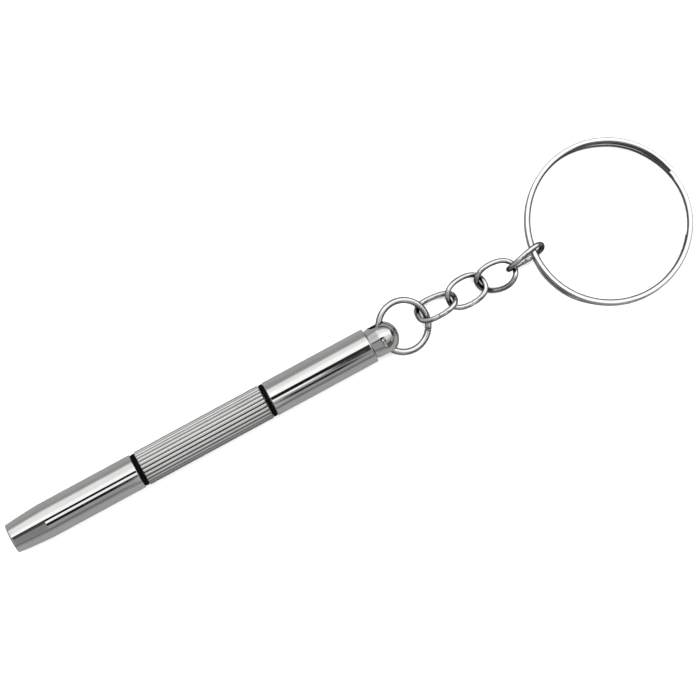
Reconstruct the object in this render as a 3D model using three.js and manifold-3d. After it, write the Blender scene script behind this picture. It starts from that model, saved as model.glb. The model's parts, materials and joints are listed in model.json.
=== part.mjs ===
// Keychain eyeglass screwdriver. A ribbed grip carries a cross blade and a flat blade, each under
// a screw cap. A ball end on the rear cap holds a jump ring, a short curb chain and a split key ring.
// Millimetres. The tool axis lies along X with the nose at -X, and the part rests on the plane z = 0.
import * as THREE from 'three';
import { mergeVertices } from 'three/addons/utils/BufferGeometryUtils.js';
import Module from 'manifold-3d';

const wasm = await Module();
wasm.setup();
const rad = THREE.MathUtils.degToRad;

// Body
const bodyDiameter = 6.0;
const gripLength = 23.2;
const sealWidth = 0.8;
const frontCapLength = 23.4;
const rearCapLength = 18.7;
const edgeBreak = 0.12;

// Ribs of the grip
const ribCount = 26;
const ribDepth = 0.2;
const ribShoulder = 0.05;
const grooveShare = 0.36;
const gripEndBreak = 0.2;

// Nose of the front cap, with its hexagon socket for small nuts
const noseDiameter = 5.06;
const noseBreak = 0.15;
const taperLength = 6.3;
const taperBulge = 0.03;
const socketAcrossFlats = 3.0;
const socketDepth = 4.0;
const socketLead = 0.2;
const pilotDiameter = 2.5;

// Screw spigots of the grip and the bores of the caps
const threadDiameter = 4.2;
const threadLength = 4.0;
const threadClearance = 0.1;
const threadStart = 0.2;
const threadLead = 0.3;
const threadRunout = 0.5;
const reliefDiameter = 3.7;
const spigotRoot = 1.0;
const capBore = 3.4;
const drillPoint = 0.45;
const socketWeb = 1.2;
const tailWall = 3.0;

// Seal rings
const sealDiameter = 5.8;
const sealClearance = 0.04;
const sealChamfer = 0.14;

// Blades
const bladeDiameter = 2.2;
const bladeSeat = 8.0;
const bladeFit = 0.03;
const seatGap = 0.2;
const crossBladeReach = 11.0;
const crossTipDiameter = 0.7;
const crossPointAngle = 53;
const crossGrooveRoot = 0.26;
const crossGrooveRun = 3.2;
const flatBladeReach = 9.5;
const flatTipThickness = 0.4;
const flatGroundLength = 4.5;
const flatTipLength = 1.35;

// Ball end
const ballDiameter = 5.7;
const ballStandoff = 2.3;
const collarDiameter = 4.84;
const collarSeam = 0.03;
const stemDiameter = 3.0;
const stemLength = 2.6;
const stemFit = 0.03;
const ballHoleDiameter = 2.8;
const ballHoleLean = 14;

// Jump ring
const jumpRingDiameter = 9.7;
const jumpRingWire = 1.1;
const jumpRingDip = 10;
const jumpRingSetback = 0.1;
const jumpRingSeam = -36;
const seamGap = 0.1;

// Curb chain: each link is an oval of wire twisted along its length, so that flat links pass
// through each other. Lay angles are in degrees: roll about the chain, pitch up, yaw towards +Y.
// Side is how far a link has slid along the wire that it hangs on.
const linkLength = 7.7;
const linkWidth = 5.5;
const linkWire = 0.92;
const linkFullness = 2.3;
const linkSlack = 0.15;
const firstLinkHook = 4;
const firstLinkSlack = 0.26;
const linkLays = [
  { roll: -39, pitch: 6.8, yaw: -3.5, twist: 6, side: 0 },
  { roll: 6, pitch: -9.4, yaw: 1.8, twist: 20, side: 0 },
  { roll: 13, pitch: 14.4, yaw: -7.3, twist: 36, side: 0 },
  { roll: 83, pitch: 1.4, yaw: 6.9, twist: 9, side: 0.45 },
];

// Split ring: two turns of flat wire, joined by a jog from the upper turn down to the lower one.
// The lower turn is tucked inside the upper one past the free end, and spread outside it at the
// chain. The spans give where each change starts, is full, eases and ends, in degrees of wire.
const splitRingDiameter = 28.1;
const flatWireWidth = 0.95;
const flatWireHeight = 0.75;
const flatWireChamfer = 0.16;
const turnGap = 0.45;
const jogAngle = 40;
const freeEndAngle = 16.7;
const endGapAngle = 4;
const lowerTuck = 0.4;
const tuckSpan = [340, 385, 415, 455];
const lowerSpread = 0.25;
const spreadSpan = [522, 542, 558, 585];
const splitRingHang = 1.7;
const splitRingSwing = -6.1;
const splitRingTilt = 3.5;

// Facets
const turnedFacets = 36;
const bladeFacets = 24;
const wireFacets = 8;
const ballSteps = 14;
const jumpRingSteps = 36;
const linkSteps = 34;
const splitRingSteps = 104;
const overcut = 1.0;

const chrome = new THREE.MeshStandardMaterial({ color: 0xd9d9d6, roughness: 0.08, metalness: 1 });
const nickel = new THREE.MeshStandardMaterial({ color: 0xcfcfca, roughness: 0.16, metalness: 1 });
const steel = new THREE.MeshStandardMaterial({ color: 0xb4b4b0, roughness: 0.32, metalness: 1 });
const rubber = new THREE.MeshStandardMaterial({ color: 0x0b0b0c, roughness: 0.55, metalness: 0 });

// Places along the tool axis, from the middle of the grip
const bodyRadius = bodyDiameter / 2;
const gripEnd = gripLength / 2;
const capMouth = gripEnd + sealWidth;
const spigotEnd = capMouth + threadLength;
const noseFace = -(capMouth + frontCapLength);
const tailFace = capMouth + rearCapLength;
const tableLevel = -bodyRadius;

/** A closed three.js geometry as a solid for cutting and joining. */
function solidOf(geometry) {
  const loose = geometry.index ? geometry.toNonIndexed() : geometry;
  const bare = new THREE.BufferGeometry();
  bare.setAttribute('position', loose.getAttribute('position'));
  const merged = mergeVertices(bare, 1e-4);
  return new wasm.Manifold(
    new wasm.Mesh({
      numProp: 3,
      vertProperties: merged.attributes.position.array,
      triVerts: new Uint32Array(merged.index.array),
    }),
  );
}

/** A cut or joined solid back as a three.js geometry. */
function geometryOf(solid) {
  const mesh = solid.getMesh();
  const geometry = new THREE.BufferGeometry();
  geometry.setAttribute('position', new THREE.BufferAttribute(new Float32Array(mesh.vertProperties), 3));
  geometry.setIndex(new THREE.BufferAttribute(new Uint32Array(mesh.triVerts), 1));
  geometry.computeVertexNormals();
  return geometry;
}

/** A turned form about the X axis, from [x, radius] pairs. The outer wall runs towards +X. */
function turned(profile, facets = turnedFacets) {
  const points = profile.map(([x, radius]) => new THREE.Vector2(radius, x));
  return new THREE.LatheGeometry(points, facets).rotateZ(-Math.PI / 2);
}

/** The same [x, radius] pairs seen from the other end, in the order that keeps the faces outward. */
function mirrored(profile) {
  return profile.map(([x, radius]) => [-x, radius]).reverse();
}

/** A round bar along X between two places. */
function bar(from, to, diameter, facets = turnedFacets) {
  const radius = diameter / 2;
  const profile = [
    [from, 0],
    [from, radius],
    [to, radius],
    [to, 0],
  ];
  return turned(profile, facets);
}

/** Outline of the ribbed grip: rounded ribs parted by narrow grooves. */
function ribbedOutline(radius) {
  const outline = [];
  const shares = [0, grooveShare / 2, 0.5, 1 - grooveShare / 2];
  const depths = [ribDepth, ribShoulder, 0, ribShoulder];
  for (let rib = 0; rib < ribCount; rib += 1) {
    shares.forEach((share, i) => {
      const angle = ((rib + share - 0.5) / ribCount) * 2 * Math.PI;
      const reach = radius - depths[i];
      outline.push(new THREE.Vector2(reach * Math.cos(angle), reach * Math.sin(angle)));
    });
  }
  return new THREE.Shape(outline);
}

/** Screw spigot on the +X end of the grip: a relief beside the seal ring, then the thread. */
function spigotProfile() {
  const relief = reliefDiameter / 2;
  const thread = threadDiameter / 2;
  return [
    [gripEnd - spigotRoot, 0],
    [gripEnd - spigotRoot, relief],
    [capMouth + threadStart, relief],
    [capMouth + threadStart + (thread - relief), thread],
    [spigotEnd - threadLead, thread],
    [spigotEnd, thread - threadLead],
    [spigotEnd, 0],
  ];
}

/** Grip: a ribbed bar with broken ends, a spigot at each end and a blind bore for each blade. */
function makeGrip() {
  const ribbed = new THREE.ExtrudeGeometry(ribbedOutline(bodyRadius), {
    depth: gripLength,
    bevelEnabled: false,
  });
  ribbed.translate(0, 0, -gripEnd).rotateY(Math.PI / 2);
  const envelope = turned([
    [-gripEnd, 0],
    [-gripEnd, bodyRadius - gripEndBreak],
    [-gripEnd + gripEndBreak, bodyRadius],
    [gripEnd - gripEndBreak, bodyRadius],
    [gripEnd, bodyRadius - gripEndBreak],
    [gripEnd, 0],
  ], 2 * ribCount);
  const spigot = spigotProfile();
  const boreDiameter = bladeDiameter + 2 * bladeFit;
  const bores = [
    bar(-spigotEnd - overcut, -spigotEnd + bladeSeat, boreDiameter, bladeFacets),
    bar(spigotEnd - bladeSeat, spigotEnd + overcut, boreDiameter, bladeFacets),
  ];
  let grip = solidOf(ribbed).intersect(solidOf(envelope));
  grip = grip.add(solidOf(turned(spigot))).add(solidOf(turned(mirrored(spigot))));
  bores.forEach((bore) => {
    grip = grip.subtract(solidOf(bore));
  });
  return geometryOf(grip);
}

/** Seal ring on the +X side of the grip, squeezed flat between the grip and a cap. */
function sealProfile() {
  const from = gripEnd + sealClearance;
  const to = capMouth - sealClearance;
  const inside = reliefDiameter / 2 + sealClearance;
  const outside = sealDiameter / 2;
  return [
    [from, inside],
    [from, outside - sealChamfer],
    [from + sealChamfer, outside],
    [to - sealChamfer, outside],
    [to, outside - sealChamfer],
    [to, inside],
    [from, inside],
  ];
}

/** Radius of the nose taper at a share of its length from the nose face. */
function taperRadius(share) {
  const nose = noseDiameter / 2;
  return nose + (bodyRadius - nose) * share + 4 * taperBulge * share * (1 - share);
}

/** Front cap: a tapered sleeve, threaded at the mouth, with a hexagon socket in the nose. */
function makeFrontCap() {
  const mouth = -capMouth;
  const threadBore = threadDiameter / 2 + threadClearance;
  const threadEnd = mouth - threadLength - threadRunout;
  const boreEnd = noseFace + socketDepth + socketWeb;
  const pilot = pilotDiameter / 2;
  const taperShares = [0.2, 0.4, 0.6, 0.8];
  const outer = [
    [noseFace, pilot],
    [noseFace, noseDiameter / 2 - noseBreak],
    [noseFace + noseBreak, taperRadius(noseBreak / taperLength)],
    ...taperShares.map((share) => [noseFace + share * taperLength, taperRadius(share)]),
    [noseFace + taperLength, bodyRadius],
    [mouth - edgeBreak, bodyRadius],
    [mouth, bodyRadius - edgeBreak],
  ];
  const inner = [
    [mouth, threadBore],
    [threadEnd, threadBore],
    [threadEnd - (threadBore - capBore / 2), capBore / 2],
    [boreEnd + drillPoint, capBore / 2],
    [boreEnd, pilot],
    [noseFace, pilot],
  ];
  const hexRadius = socketAcrossFlats / Math.sqrt(3);
  const socket = new THREE.CylinderGeometry(hexRadius, hexRadius, 2 * socketDepth, 6);
  const lead = turned([
    [noseFace - socketLead, 0],
    [noseFace - socketLead, hexRadius + 2 * socketLead],
    [noseFace + socketLead, hexRadius],
    [noseFace + socketLead, 0],
  ]);
  socket.rotateZ(Math.PI / 2).translate(noseFace, 0, 0);
  const sleeve = solidOf(turned([...outer, ...inner]));
  return geometryOf(sleeve.subtract(solidOf(socket)).subtract(solidOf(lead)));
}

/** Rear cap: a plain sleeve, threaded at the mouth, with a hole in its tail for the ball's stem. */
function makeRearCap() {
  const threadBore = threadDiameter / 2 + threadClearance;
  const threadEnd = capMouth + threadLength + threadRunout;
  const boreEnd = tailFace - tailWall;
  const stemHole = stemDiameter / 2 + stemFit;
  const profile = [
    [capMouth, threadBore],
    [capMouth, bodyRadius - edgeBreak],
    [capMouth + edgeBreak, bodyRadius],
    [tailFace - edgeBreak, bodyRadius],
    [tailFace, bodyRadius - edgeBreak],
    [tailFace, stemHole],
    [boreEnd, stemHole],
    [boreEnd - (capBore / 2 - stemHole), capBore / 2],
    [threadEnd + (threadBore - capBore / 2), capBore / 2],
    [threadEnd, threadBore],
    [capMouth, threadBore],
  ];
  return turned(profile);
}

/** Cross blade along -X: a round shank with a blunt cone, cut by four V grooves. */
function makeCrossBlade() {
  const radius = bladeDiameter / 2;
  const tip = -spigotEnd - crossBladeReach;
  const seat = -spigotEnd + bladeSeat - seatGap;
  const coneLength = (radius - crossTipDiameter / 2) / Math.tan(rad(crossPointAngle / 2));
  const shank = turned([
    [tip, 0],
    [tip, crossTipDiameter / 2],
    [tip + coneLength, radius],
    [seat, radius],
    [seat, 0],
  ], bladeFacets);
  let blade = solidOf(shank);
  const rise = Math.atan2(radius - crossGrooveRoot, crossGrooveRun);
  const side = 2 * bladeDiameter;
  for (let quarter = 0; quarter < 4; quarter += 1) {
    const groove = new THREE.BoxGeometry(4 * crossGrooveRun, side, side);
    groove.rotateX(Math.PI / 4);
    groove.translate(0, 0, side / Math.sqrt(2));
    groove.rotateY(-rise);
    groove.translate(tip, 0, crossGrooveRoot);
    groove.rotateX((quarter * Math.PI) / 2);
    blade = blade.subtract(solidOf(groove));
  }
  return geometryOf(blade);
}

/** Flat blade along +X: a round shank ground from both sides to a thin straight edge. */
function makeFlatBlade() {
  const tip = spigotEnd + flatBladeReach;
  const seat = spigotEnd - bladeSeat + seatGap;
  const groundFrom = tip - flatGroundLength;
  const full = bladeDiameter;
  const thin = flatTipThickness / 2;
  const side = new THREE.Shape([
    new THREE.Vector2(seat - overcut, -full),
    new THREE.Vector2(groundFrom, -full),
    new THREE.Vector2(groundFrom, -bladeDiameter / 2),
    new THREE.Vector2(tip - flatTipLength, -thin),
    new THREE.Vector2(tip + overcut, -thin),
    new THREE.Vector2(tip + overcut, thin),
    new THREE.Vector2(tip - flatTipLength, thin),
    new THREE.Vector2(groundFrom, bladeDiameter / 2),
    new THREE.Vector2(groundFrom, full),
    new THREE.Vector2(seat - overcut, full),
  ]);
  const slab = new THREE.ExtrudeGeometry(side, { depth: 2 * full, bevelEnabled: false });
  slab.translate(0, 0, -full).rotateX(Math.PI / 2);
  const shank = bar(seat, tip, bladeDiameter, bladeFacets);
  return geometryOf(solidOf(shank).intersect(solidOf(slab)));
}

/** Ball end: a stem for the cap's tail, and a ball on a collar that is tangent to it, cross-drilled. */
function makeBallEnd() {
  const radius = ballDiameter / 2;
  const collar = collarDiameter / 2;
  const centre = tailFace + ballStandoff;
  const standoff = ballStandoff - collarSeam;
  const start = Math.atan2(collar, -standoff) - Math.acos(radius / Math.hypot(collar, standoff));
  const profile = [
    [tailFace - stemLength, 0],
    [tailFace - stemLength, stemDiameter / 2],
    [tailFace + collarSeam, stemDiameter / 2],
    [tailFace + collarSeam, collar],
  ];
  for (let i = 0; i <= ballSteps; i += 1) {
    const angle = start * (1 - i / ballSteps);
    profile.push([centre + radius * Math.cos(angle), i === ballSteps ? 0 : radius * Math.sin(angle)]);
  }
  const holeRadius = ballHoleDiameter / 2;
  const hole = new THREE.CylinderGeometry(holeRadius, holeRadius, 2 * ballDiameter, bladeFacets);
  hole.rotateX(rad(ballHoleLean)).translate(centre, 0, 0);
  return geometryOf(solidOf(turned(profile)).subtract(solidOf(hole)));
}

/** Round section of a wire. */
function wireSection(diameter) {
  const outline = [];
  for (let i = 0; i < wireFacets; i += 1) {
    const angle = (i / wireFacets) * 2 * Math.PI;
    outline.push(new THREE.Vector2((diameter / 2) * Math.cos(angle), (diameter / 2) * Math.sin(angle)));
  }
  return new THREE.Shape(outline);
}

/** Centre line of a plain ring of wire in its XY plane, open at a narrow butt seam. */
class RingPath extends THREE.Curve {
  constructor(radius, seamAngle) {
    super();
    this.radius = radius;
    this.seam = rad(seamAngle);
    this.halfGap = seamGap / 2 / radius;
  }

  getPoint(share, target = new THREE.Vector3()) {
    const angle = this.seam + this.halfGap + share * 2 * (Math.PI - this.halfGap);
    return target.set(this.radius * Math.cos(angle), this.radius * Math.sin(angle), 0);
  }
}

/** Centre line of a curb link along X: a full oval whose roll turns evenly from end to end. */
class LinkPath extends THREE.Curve {
  constructor(twist) {
    super();
    this.halfLength = (linkLength - linkWire) / 2;
    this.halfWidth = (linkWidth - linkWire) / 2;
    this.twist = rad(twist);
    this.halfGap = (seamGap / 2 / this.halfLength) ** (linkFullness / 2);
  }

  getPoint(share, target = new THREE.Vector3()) {
    const angle = 1.5 * Math.PI + this.halfGap + share * 2 * (Math.PI - this.halfGap);
    const full = (value) => Math.sign(value) * Math.abs(value) ** (2 / linkFullness);
    const x = this.halfLength * full(Math.cos(angle));
    const y = this.halfWidth * full(Math.sin(angle));
    const roll = (-this.twist * x) / this.halfLength;
    return target.set(x, y * Math.cos(roll), y * Math.sin(roll));
  }
}

/** 0 up to the start, 1 from full to ease and 0 again past the end, with smooth changes. */
function swell(value, start, full, ease, end) {
  const rise = THREE.MathUtils.smoothstep(value, start, full);
  return rise - THREE.MathUtils.smoothstep(value, ease, end);
}

/** Centre line of the split ring about Z: the upper turn, the jog down, then the lower turn. */
class SplitRingPath extends THREE.Curve {
  constructor() {
    super();
    this.radius = (splitRingDiameter - flatWireWidth) / 2;
    this.rise = (flatWireHeight + turnGap) / 2;
    this.upperTurn = 360 - jogAngle - endGapAngle;
    this.total = 2 * this.upperTurn + jogAngle;
  }

  getPoint(share, target = new THREE.Vector3()) {
    const along = share * this.total;
    const angle = rad(freeEndAngle + along);
    const down = THREE.MathUtils.smoothstep(along, this.upperTurn, this.upperTurn + jogAngle);
    const height = this.rise * (1 - 2 * down);
    const tuck = lowerTuck * swell(along, ...tuckSpan);
    const spread = lowerSpread * swell(along, ...spreadSpan);
    const radius = this.radius - tuck + spread;
    return target.set(radius * Math.cos(angle), radius * Math.sin(angle), height);
  }

  /** Frames that keep the wire's flat side facing along the ring's axis. */
  computeFrenetFrames(steps) {
    const axis = new THREE.Vector3(0, 0, 1);
    const frames = { tangents: [], normals: [], binormals: [] };
    for (let i = 0; i <= steps; i += 1) {
      const tangent = this.getTangentAt(i / steps);
      const normal = axis.clone().addScaledVector(tangent, -tangent.z).normalize();
      frames.tangents.push(tangent);
      frames.normals.push(normal);
      frames.binormals.push(new THREE.Vector3().crossVectors(tangent, normal));
    }
    return frames;
  }
}

/** Section of the split ring's flat wire, with broken corners. */
function flatWireSection() {
  const h = flatWireHeight / 2;
  const w = flatWireWidth / 2;
  const c = flatWireChamfer;
  const corners = [
    [h, -w + c],
    [h, w - c],
    [h - c, w],
    [-h + c, w],
    [-h, w - c],
    [-h, -w + c],
    [-h + c, -w],
    [h - c, -w],
  ];
  return new THREE.Shape(corners.map(([x, y]) => new THREE.Vector2(x, y)));
}

/** A section swept along a path, closed at both ends. */
function swept(section, path, steps) {
  return new THREE.ExtrudeGeometry(section, { steps, extrudePath: path, bevelEnabled: false });
}

/** Least distance between points on different turns of the split ring's surface. */
function leastTurnGap(geometry) {
  const upper = [];
  const lower = [];
  const point = new THREE.Vector3();
  const places = geometry.getAttribute('position');
  for (let i = 0; i < places.count; i += 1) {
    point.fromBufferAttribute(places, i);
    (point.z > 0 ? upper : lower).push(point.clone());
  }
  const level = turnGap / 4;
  const above = upper.filter((p) => p.z > level);
  const below = lower.filter((p) => p.z < -level);
  let least = Infinity;
  above.forEach((p) => {
    below.forEach((q) => {
      least = Math.min(least, p.distanceTo(q));
    });
  });
  return least;
}

/** Turn of a piece from its lay angles. */
function layTurn({ roll, pitch, yaw }) {
  return new THREE.Quaternion().setFromEuler(new THREE.Euler(rad(roll), -rad(pitch), rad(yaw), 'ZYX'));
}

const part = new THREE.Group();
part.name = 'eyeglass_screwdriver';
const assembly = new THREE.Group();
assembly.name = 'assembly';
part.add(assembly);

/** Adds a named piece to the assembly. */
function addPiece(name, geometry, material) {
  const mesh = new THREE.Mesh(geometry, material.clone());
  mesh.name = name;
  assembly.add(mesh);
  return mesh;
}

addPiece('grip', makeGrip(), chrome);
addPiece('front_seal', turned(mirrored(sealProfile())), rubber);
addPiece('rear_seal', turned(sealProfile()), rubber);
addPiece('cross_blade', makeCrossBlade(), steel);
addPiece('flat_blade', makeFlatBlade(), steel);
addPiece('front_cap', makeFrontCap(), chrome);
addPiece('rear_cap', makeRearCap(), chrome);
addPiece('ball_end', makeBallEnd(), chrome);

// Jump ring: swings in the ball's cross hole, so it shares the hole's lean
const ballCentre = new THREE.Vector3(tailFace + ballStandoff, 0, 0);
const jumpRadius = (jumpRingDiameter - jumpRingWire) / 2;
const jumpLean = new THREE.Euler(rad(ballHoleLean), rad(jumpRingDip), 0);
const jumpTurn = new THREE.Quaternion().setFromEuler(jumpLean);
const jumpPath = new RingPath(jumpRadius, jumpRingSeam);
const jumpCentre = new THREE.Vector3(jumpRadius - jumpRingSetback, 0, 0);
jumpCentre.applyQuaternion(jumpTurn).add(ballCentre);
const jumpRing = addPiece('jump_ring', swept(wireSection(jumpRingWire), jumpPath, jumpRingSteps), nickel);
jumpRing.position.copy(jumpCentre);
jumpRing.quaternion.copy(jumpTurn);
jumpRing.userData.hinge = {
  point: ballCentre.clone(),
  axis: new THREE.Vector3(0, 1, 0).applyQuaternion(jumpTurn),
};

// Links: each hangs by its near end in the far end of the piece before it
const hook = rad(firstLinkHook);
const onJumpRing = new THREE.Vector3(Math.cos(hook), Math.sin(hook), 0);
const linkReach = (linkLength - linkWire) / 2;
let far = {
  point: onJumpRing.clone().multiplyScalar(jumpRadius).applyQuaternion(jumpTurn).add(jumpCentre),
  axis: new THREE.Vector3(-onJumpRing.y, onJumpRing.x, 0).applyQuaternion(jumpTurn),
  heading: new THREE.Vector3(1, 0, 0).applyQuaternion(jumpTurn),
  wire: jumpRingWire,
  slack: firstLinkSlack,
};
linkLays.forEach((lay, i) => {
  const turn = layTurn(lay);
  const heading = new THREE.Vector3(1, 0, 0).applyQuaternion(turn);
  const pull = heading.clone().add(far.heading).normalize();
  const hold = (far.wire + linkWire) / 2 + far.slack;
  const hanger = far.point.clone().addScaledVector(far.axis, lay.side);
  const centre = hanger.clone().addScaledVector(pull, -hold).addScaledVector(heading, linkReach);
  const path = new LinkPath(lay.twist);
  const link = addPiece(`chain_link_${i + 1}`, swept(wireSection(linkWire), path, linkSteps), nickel);
  link.position.copy(centre);
  link.quaternion.copy(turn);
  link.userData.hinge = { point: hanger, axis: far.axis };
  const endRoll = -rad(lay.twist);
  far = {
    point: centre.clone().addScaledVector(heading, linkReach),
    axis: new THREE.Vector3(0, Math.cos(endRoll), Math.sin(endRoll)).applyQuaternion(turn),
    heading,
    wire: linkWire,
    slack: linkSlack,
  };
});

// Split ring: one side runs through the last link, the other lies on the table
const splitPath = new SplitRingPath();
const splitRing = addPiece('split_ring', swept(flatWireSection(), splitPath, splitRingSteps), nickel);
const splitTurn = layTurn({ roll: 0, pitch: -splitRingTilt, yaw: splitRingSwing });
const splitHalfHeight = flatWireHeight + turnGap / 2;
const tilt = rad(splitRingTilt);
const splitLow = splitHalfHeight * Math.cos(tilt) + (splitRingDiameter / 2) * Math.sin(tilt);
const toLink = new THREE.Vector3(-splitPath.radius, 0, 0).applyQuaternion(splitTurn);
const splitCentre = far.point.clone().addScaledVector(far.heading, -splitRingHang).sub(toLink);
splitCentre.z = tableLevel + splitLow;
splitRing.position.copy(splitCentre);
splitRing.quaternion.copy(splitTurn);
splitRing.userData.hinge = {
  point: splitCentre.clone().add(toLink),
  axis: new THREE.Vector3(0, 1, 0).applyQuaternion(splitTurn),
};
console.log(`split_ring: least gap between its turns ${leastTurnGap(splitRing.geometry).toFixed(2)} mm`);

// The part's origin is the middle of its box, at the bottom
part.updateMatrixWorld(true);
const box = new THREE.Box3().setFromObject(part, true);
assembly.position.set(-(box.min.x + box.max.x) / 2, -(box.min.y + box.max.y) / 2, -box.min.z);

export default part;
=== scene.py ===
"""Looks of a keychain eyeglass screwdriver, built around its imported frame.

Sizes are millimetres, as on a drawing, and meshes are made in metres. The tool axis runs along X,
with the nose at -X and the key ring at +X. Every piece is a skin over a grid of points worked out
with numpy, and it stands for the solid of the same name.
"""

import json
import math

import bpy
import numpy as np
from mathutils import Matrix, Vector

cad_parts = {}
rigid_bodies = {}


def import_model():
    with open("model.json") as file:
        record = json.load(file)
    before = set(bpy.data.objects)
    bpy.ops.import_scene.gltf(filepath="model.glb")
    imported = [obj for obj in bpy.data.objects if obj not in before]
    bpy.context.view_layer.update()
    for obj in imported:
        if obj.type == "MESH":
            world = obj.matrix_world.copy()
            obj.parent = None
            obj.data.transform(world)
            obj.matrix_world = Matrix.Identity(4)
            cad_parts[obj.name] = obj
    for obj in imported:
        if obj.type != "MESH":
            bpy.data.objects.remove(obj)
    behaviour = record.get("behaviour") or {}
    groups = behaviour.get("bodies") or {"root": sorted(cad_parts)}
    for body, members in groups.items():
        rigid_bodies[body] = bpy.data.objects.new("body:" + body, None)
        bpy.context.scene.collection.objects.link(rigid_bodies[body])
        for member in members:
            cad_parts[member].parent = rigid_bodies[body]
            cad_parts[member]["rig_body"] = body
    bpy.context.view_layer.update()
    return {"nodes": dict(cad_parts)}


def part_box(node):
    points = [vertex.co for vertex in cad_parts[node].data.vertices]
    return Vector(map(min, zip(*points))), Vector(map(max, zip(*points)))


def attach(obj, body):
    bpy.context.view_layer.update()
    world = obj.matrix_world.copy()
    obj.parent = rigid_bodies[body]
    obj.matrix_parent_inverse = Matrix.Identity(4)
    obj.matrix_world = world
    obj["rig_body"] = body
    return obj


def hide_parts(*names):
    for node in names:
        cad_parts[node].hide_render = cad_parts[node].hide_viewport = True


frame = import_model()

MM = 0.001
TURN = 2 * math.pi
SINGLE_POINT = 0.000001
THREAD_STEPS = 96
ROUND_STEPS = 2 * THREAD_STEPS
SHARP_EDGE = 38
SHARP_BLADE_EDGE = 25

# Body
BODY_RADIUS = 3.0
GRIP_LENGTH = 23.2
SEAL_WIDTH = 0.8
FRONT_CAP_LENGTH = 23.4
REAR_CAP_LENGTH = 18.7
EDGE_BREAK = 0.12

# Ribs of the grip
RIBS = 26
RIB_DEPTH = 0.2
RIB_ROUNDNESS = 2.4
RIB_STEPS = 24
GRIP_END_BREAK = 0.2
GRIP_END_ROWS = 16

# Painted shade in the grip's grooves and on its front rows: how dark, and where on a rib's side it starts,
# at the grip's back and at its front
GROOVE_SHADE = 0.85
BACK_GROOVE_EDGE = 0.76
FRONT_GROOVE_EDGE = 0.5
GROOVE_EDGE_EASE = 0.24
BACK_TO_FRONT = (-0.4, 0.3)
FRONT_ROW_SHADE = 0.36
FRONT_ROW = (0.7, 0.92)

# Seals
SEAL_RADIUS = 2.9
SEAL_TAPER = 0.13
SEAL_PLAY = 0.03
SEAL_SEAT_PLAY = 0.04

# Nose of the front cap
NOSE_RADIUS = 2.53
NOSE_BREAK = 0.15
TAPER_LENGTH = 6.3
TAPER_BULGE = 0.03
TAPER_ROWS = 26
SOCKET_HALF_FLATS = 1.5
SOCKET_DEPTH = 4.0
SOCKET_LEAD = 0.2
SOCKET_WEB = 1.2
PILOT_RADIUS = 1.25
PILOT_CONE = 0.45

# Screw spigots and the bores of the caps
THREAD_RADIUS = 2.1
THREAD_LENGTH = 4.0
THREAD_PITCH = 0.5
THREAD_DEPTH = 0.17
THREAD_PLAY = 0.05
THREAD_ROWS = 110
TOOTH_FLANK = (0.15, 0.85)
INSIDE_THREAD_RUN = 0.5
RELIEF_RADIUS = 1.85
CAP_BORE_RADIUS = 1.7
MOUTH_RADIUS = THREAD_RADIUS + 0.35
MOUTH_FILLET = 0.1
LEAD_RADIUS = THREAD_RADIUS + 0.2
LEAD_LENGTH = 0.12
UNDERCUT_RADIUS = THREAD_RADIUS + 0.1
UNDERCUT_START = THREAD_LENGTH + 0.6
UNDERCUT_END = THREAD_LENGTH + 1.1
TAIL_WALL = 3.0
TAIL_BREAK = 0.2
TAIL_CONE = 0.2

# Blades
BLADE_RADIUS = 1.1
BLADE_SEAT = 8.0
BLADE_FIT = 0.03
BLADE_BACK_GAP = 0.2
BLADE_BACK_EDGE = 0.05
CROSS_REACH = 11.0
CROSS_TIP_RADIUS = 0.35
CROSS_HALF_POINT = 26.5
CROSS_ROOT = 0.26
CROSS_RUN = 3.2
CROSS_DETAIL = 6.0
CROSS_ROWS = 120
FLAT_REACH = 9.5
FLAT_TIP_HALF = 0.2
FLAT_TIP_LENGTH = 1.35
FLAT_GROUND = 4.5
FLAT_ROWS = 60

# Ball end
BALL_RADIUS = 2.85
BALL_STANDOFF = 2.3
COLLAR_RADIUS = 2.42
COLLAR_SEAM = 0.03
COLLAR_ROUND = 0.08
BALL_LIP = 0.12
# Painted shade on the lips of the cross hole
LIP_SHADE = 0.7
STEM_RADIUS = 1.5
STEM_FIT = 0.03
STEM_LENGTH = 2.6
STEM_OVERLAP = 0.3
BALL_HOLE_RADIUS = 1.4
BALL_HOLE_LEAN = 14
BALL_STEPS = 288
BALL_ROWS = 130
LIP_ROWS = 7
WALL_ROWS = 12

# Chain: roll about the chain, pitch up, yaw towards +Y and twist from end to end, in degrees, then how
# far the link has slid along the wire that it hangs on
JUMP_RADIUS = 4.3
JUMP_WIRE = 1.1
JUMP_DIP = 10
JUMP_SETBACK = 0.1
JUMP_SEAM = -36
LINK_LENGTH = 7.7
LINK_WIDTH = 5.5
LINK_WIRE = 0.92
LINK_FULLNESS = 2.5
LINK_SLACK = 0.15
FIRST_HOOK = 4
FIRST_SLACK = 0.26
BUTT_GAP = 0.05
CUT_EASE = 0.09
CUT_SHRINK = 0.16
DRAWN_UNDER = 0.03
LINK_LAYS = (
    (-39, 6.8, -3.5, 6, 0.0),
    (6, -9.4, 1.8, 20, 0.0),
    (13, 14.4, -7.3, 36, 0.0),
    (83, 1.4, 6.9, 9, 0.45),
)

# Painted shade on the wires: on their sides, underneath, at crossings and at the butt ends. A wire's own
# shade settings are the span of |upright| over which its sides clear, the share that stays on its outer
# side and how dark its butted ends are
SIDE_SHADE = 0.78
OUTER_SPAN = (-0.1, 0.3)
UNDER_SHADE = 0.25
UNDER_SPAN = (0.2, 0.8)
CROSSING_SPAN = (0.7, 1.4)
BUTT_SPAN = (0.12, 0.42)
CROSSING_STRIDE = 6
JUMP_WIRE_SHADE = ((0.5, 0.9), 1.0, 0.92)
LINK_WIRE_SHADE = ((0.5, 0.9), 1.0, 0.0)
FLAT_WIRE_SHADE = ((0.9, 1.0), 0.1, 0.0)

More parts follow.
